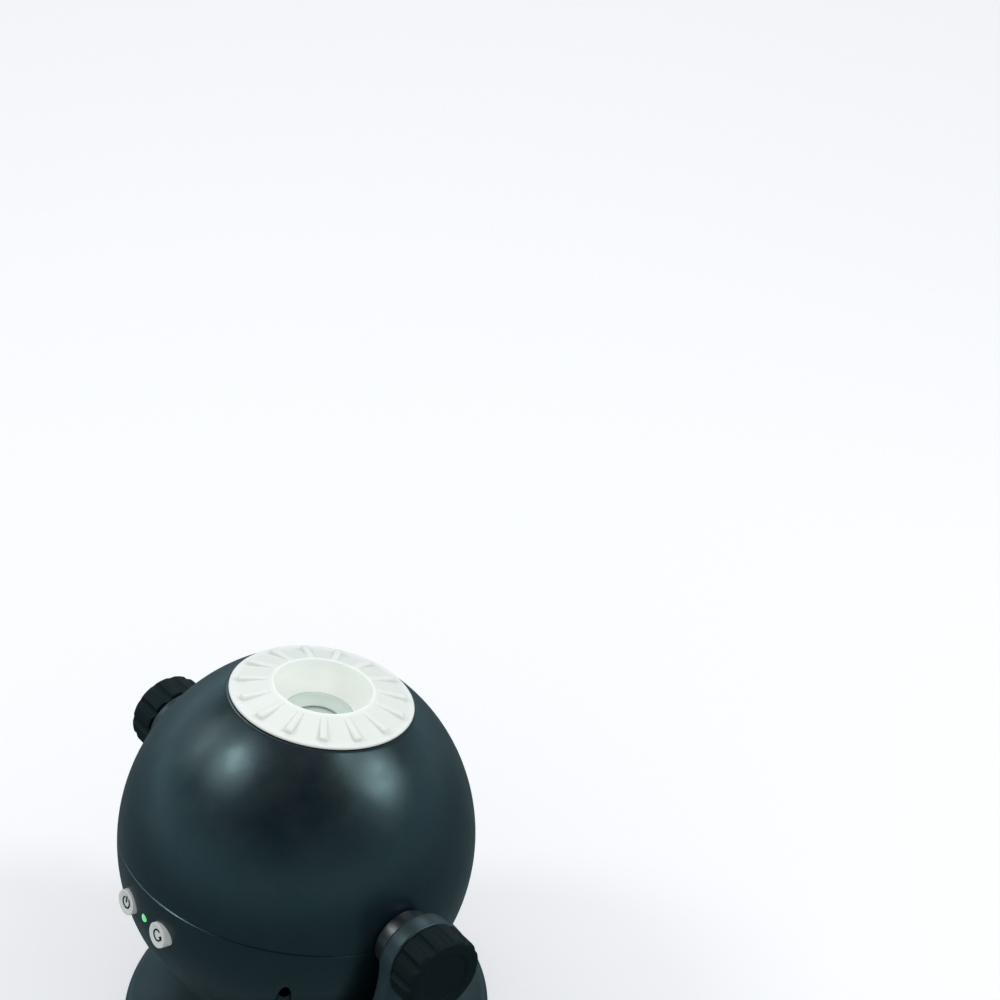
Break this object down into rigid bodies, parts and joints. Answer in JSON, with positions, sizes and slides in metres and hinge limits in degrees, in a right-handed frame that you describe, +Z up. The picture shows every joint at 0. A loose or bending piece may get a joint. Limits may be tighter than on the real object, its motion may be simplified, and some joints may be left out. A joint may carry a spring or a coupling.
{
  "type": "planetarium projector",
  "caption": "Home star projector: egg-shaped head with a ribbed focus ring round its lens, tilting between two curved arms on a round base.",
  "frame": {"origin": "centre of the stand on the surface it rests on", "axes": "+Z up, +X along the tilt axis to the right-hand knob, -Y the front with the buttons"},
  "size_m": [0.21, 0.16, 0.1848],
  "materials": {
    "shell_plastic": "satin",
    "ring_plastic": "fine matt grain",
    "stand_plastic": "fine matt grain",
    "knob_rubber": "soft touch",
    "foot_rubber": "matt",
    "plate_steel": "black powder coat",
    "ballast_steel": "raw",
    "screw_steel": "zinc plated",
    "hub_metal": "turned, anodised",
    "insert_brass": "turned",
    "bush_nylon": "moulded",
    "gear_acetal": "moulded",
    "lens_glass": "polished, coated",
    "optic_black": "matt black",
    "chassis_plastic": "moulded",
    "film": "black film with clear dots",
    "circuit_board": "solder resist",
    "heat_aluminium": "extruded",
    "motor_steel": "plated",
    "lamp_dome": "clear dome over phosphor",
    "cell_wrap": "plain sleeve",
    "contact_metal": "nickel plated",
    "button_plastic": "satin",
    "indicator": "clear light pipe",
    "switch_plastic": "moulded"
  },
  "bodies": {
    "stand": {"base_shell": "stand_plastic", "base_plate": "plate_steel", "base_screws": "screw_steel", "ballast_weight": "ballast_steel", "rubber_feet": "foot_rubber", "yoke_arm_left": "stand_plastic", "yoke_arm_right": "stand_plastic", "arm_screws": "screw_steel", "pivot_bush_left": "bush_nylon", "pivot_bush_right": "bush_nylon"},
    "head": {"upper_shell": "shell_plastic", "lower_shell": "shell_plastic", "shell_screws": "screw_steel", "pivot_hub_left": "hub_metal", "pivot_hub_right": "hub_metal", "friction_washers": "bush_nylon", "chassis_plate": "chassis_plastic", "chassis_screws": "screw_steel", "idler_pin": "screw_steel", "tray_rails": "chassis_plastic", "lens_guide": "optic_black", "bridge_posts": "chassis_plastic", "bridge_screws": "screw_steel", "light_cone": "optic_black", "condenser_lens": "lens_glass", "led_board": "circuit_board", "led_emitter": "lamp_dome", "heat_sink": "heat_aluminium", "heat_sink_screws": "screw_steel", "gearmotor": "motor_steel", "motor_screws": "screw_steel", "main_board": "circuit_board", "board_screws": "screw_steel", "tact_switches": "switch_plastic", "indicator_lens": "indicator", "battery_box": "chassis_plastic", "batteries": "cell_wrap", "battery_contacts": "contact_metal"},
    "knob_left": {"knob_left": "knob_rubber", "knob_insert_left": "insert_brass"},
    "knob_right": {"knob_right": "knob_rubber", "knob_insert_right": "insert_brass"},
    "focus_ring": {"focus_ring": "ring_plastic", "ring_clip": "screw_steel"},
    "lens_barrel": {"lens_barrel": "optic_black", "front_lens": "lens_glass", "rear_lens": "lens_glass", "lens_spacer": "optic_black", "lens_retaining_ring": "ring_plastic", "follower_pins": "insert_brass"},
    "disc_tray": {"disc_tray": "shell_plastic"},
    "star_disc": {"disc_gear_frame": "gear_acetal", "star_disc": "film"},
    "idler_gear": {"idler_gear": "gear_acetal"},
    "motor_pinion": {"motor_pinion": "insert_brass", "motor_shaft": "screw_steel"},
    "power_button": {"power_button": "button_plastic"},
    "rotate_button": {"rotate_button": "button_plastic"},
    "battery_cover": {"battery_cover": "shell_plastic"}
  },
  "joints": [
    {"name": "head_tilt", "type": "hinge", "parent": "stand", "child": "head", "pos_m": [0, 0, 0.106], "axis": [1, 0, 0], "range_deg": [-20, 75]},
    {"name": "knob_left_turn", "type": "hinge", "parent": "head", "child": "knob_left", "pos_m": [-0.098, 0, 0.106], "axis": [-1, 0, 0], "range_deg": [0, 180]},
    {"name": "knob_right_turn", "type": "hinge", "parent": "head", "child": "knob_right", "pos_m": [0.098, 0, 0.106], "axis": [1, 0, 0], "range_deg": [0, 180]},
    {"name": "focus_ring_turn", "type": "hinge", "parent": "head", "child": "focus_ring", "pos_m": [0, 0.01575, 0.17421], "axis": [0, 0.225, 0.9744], "range_deg": [-50, 50]},
    {"name": "lens_barrel_slide", "type": "slide", "parent": "head", "child": "lens_barrel", "axis": [0, 0.225, 0.9744], "range_m": [-0.003, 0.003]},
    {"name": "disc_tray_slide", "type": "slide", "parent": "head", "child": "disc_tray", "axis": [0, 0.9744, -0.225], "range_m": [0, 0.1]},
    {"name": "star_disc_spin", "type": "hinge", "parent": "disc_tray", "child": "star_disc", "pos_m": [0, 0.00742, 0.13815], "axis": [0, 0.225, 0.9744], "continuous": true},
    {"name": "idler_spin", "type": "hinge", "parent": "head", "child": "idler_gear", "pos_m": [0, -0.02877, 0.14651], "axis": [0, 0.225, 0.9744], "continuous": true},
    {"name": "pinion_spin", "type": "hinge", "parent": "head", "child": "motor_pinion", "pos_m": [0.01215, -0.03368, 0.14764], "axis": [0, 0.225, 0.9744], "continuous": true},
    {"name": "power_button_press", "type": "slide", "parent": "head", "child": "power_button", "axis": [0, 0.9744, -0.225], "range_m": [0, 0.0012], "stiffness_N_per_m": 600, "springref_m": -0.0006},
    {"name": "rotate_button_press", "type": "slide", "parent": "head", "child": "rotate_button", "axis": [0, 0.9744, -0.225], "range_m": [0, 0.0012], "stiffness_N_per_m": 600, "springref_m": -0.0006},
    {"name": "battery_cover_release", "type": "slide", "parent": "head", "child": "battery_cover", "axis": [0, -0.225, -0.9744], "range_m": [0, 0.009]}
  ],
  "couplings": [
    {"joint": "lens_barrel_slide", "follows": "focus_ring_turn", "m_per_rad": 0.0034377},
    {"joint": "idler_spin", "follows": "star_disc_spin", "ratio": -3.625},
    {"joint": "pinion_spin", "follows": "star_disc_spin", "ratio": 5.8}
  ]
}
